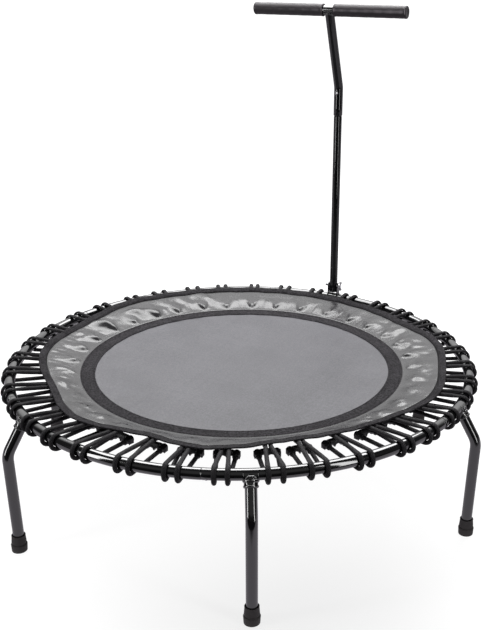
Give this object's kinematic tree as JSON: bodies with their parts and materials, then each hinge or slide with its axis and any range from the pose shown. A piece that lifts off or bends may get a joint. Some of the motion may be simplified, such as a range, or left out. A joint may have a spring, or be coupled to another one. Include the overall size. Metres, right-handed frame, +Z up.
{
  "type": "mini trampoline",
  "caption": "Round rebounder on six plug-in legs, with a mat hung on elastic cord loops, a loose skirt over the cords and a folding T-handle with foam grips.",
  "frame": {"origin": "on the floor, under the centre of the ring", "axes": "+Z up, +Y towards the handle post, +X along the T-bar"},
  "size_m": [1.093, 1.0276, 1.0288],
  "materials": {
    "gloss_black_paint": "gloss black powder coat",
    "satin_black_paint": "satin black powder coat",
    "foot_rubber": "matte moulded rubber",
    "braided_cord": "matte braided sleeve over elastic",
    "mat_cloth": "fine woven polypropylene",
    "skirt_vinyl": "glossy coated cloth, wrinkled",
    "grip_foam": "matte closed-cell foam",
    "bright_steel": "zinc plated"
  },
  "bodies": {
    "frame": {"ring_arc_front_right": "gloss_black_paint", "ring_arc_left": "gloss_black_paint", "ring_arc_rear_left": "gloss_black_paint", "ring_arc_rear_right": "gloss_black_paint", "leg_right": "satin_black_paint", "leg_front_right": "satin_black_paint", "leg_front_left": "satin_black_paint", "leg_left": "satin_black_paint", "leg_rear_left": "satin_black_paint", "leg_rear_right": "satin_black_paint", "foot_right": "foot_rubber", "foot_front_right": "foot_rubber", "foot_front_left": "foot_rubber", "foot_left": "foot_rubber", "foot_rear_left": "foot_rubber", "foot_rear_right": "foot_rubber", "cord_01": "braided_cord", "cord_02": "braided_cord", "cord_03": "braided_cord", "cord_04": "braided_cord", "cord_05": "braided_cord", "cord_06": "braided_cord", "cord_07": "braided_cord", "cord_08": "braided_cord", "cord_09": "braided_cord", "cord_10": "braided_cord", "cord_11": "braided_cord", "cord_12": "braided_cord", "cord_13": "braided_cord", "cord_14": "braided_cord", "cord_15": "braided_cord", "cord_16": "braided_cord", "cord_17": "braided_cord", "cord_18": "braided_cord", "cord_19": "braided_cord", "cord_20": "braided_cord", "cord_21": "braided_cord", "cord_22": "braided_cord", "cord_23": "braided_cord", "cord_24": "braided_cord", "cord_25": "braided_cord", "cord_26": "braided_cord", "cord_27": "braided_cord", "cord_28": "braided_cord", "cord_29": "braided_cord", "cord_30": "braided_cord", "cord_31": "braided_cord", "cord_32": "braided_cord", "cord_33": "braided_cord", "cord_34": "braided_cord", "cord_35": "braided_cord", "cord_36": "braided_cord"},
    "mat": {"jumping_mat": "mat_cloth", "skirt": "skirt_vinyl"},
    "handle": {"handle_post": "gloss_black_paint", "t_handle": "gloss_black_paint", "grip_left": "grip_foam", "grip_right": "grip_foam"},
    "wing_bolt": {"wing_bolt": "bright_steel"},
    "button": {"snap_button": "bright_steel"}
  },
  "joints": [
    {"name": "mat_bounce", "type": "slide", "parent": "frame", "child": "mat", "axis": [0, 0, 1], "range_m": [-0.12, 0], "stiffness_N_per_m": 6000, "deforming": ["cord_01", "cord_02", "cord_03", "cord_04", "cord_05", "cord_06", "cord_07", "cord_08", "cord_09", "cord_10", "cord_11", "cord_12", "cord_13", "cord_14", "cord_15", "cord_16", "cord_17", "cord_18", "cord_19", "cord_20", "cord_21", "cord_22", "cord_23", "cord_24", "cord_25", "cord_26", "cord_27", "cord_28", "cord_29", "cord_30", "cord_31", "cord_32", "cord_33", "cord_34", "cord_35", "cord_36"]},
    {"name": "handle_fold", "type": "hinge", "parent": "frame", "child": "handle", "pos_m": [0, 0.495, 0.319], "axis": [1, 0, 0], "range_deg": [0, 80]},
    {"name": "wing_bolt_turn", "type": "hinge", "parent": "frame", "child": "wing_bolt", "pos_m": [0, 0.495, 0.319], "axis": [1, 0, 0], "continuous": true},
    {"name": "button_press", "type": "slide", "parent": "handle", "child": "button", "axis": [0, 1, 0], "range_m": [0, 0.0035], "stiffness_N_per_m": 1500}
  ]
}
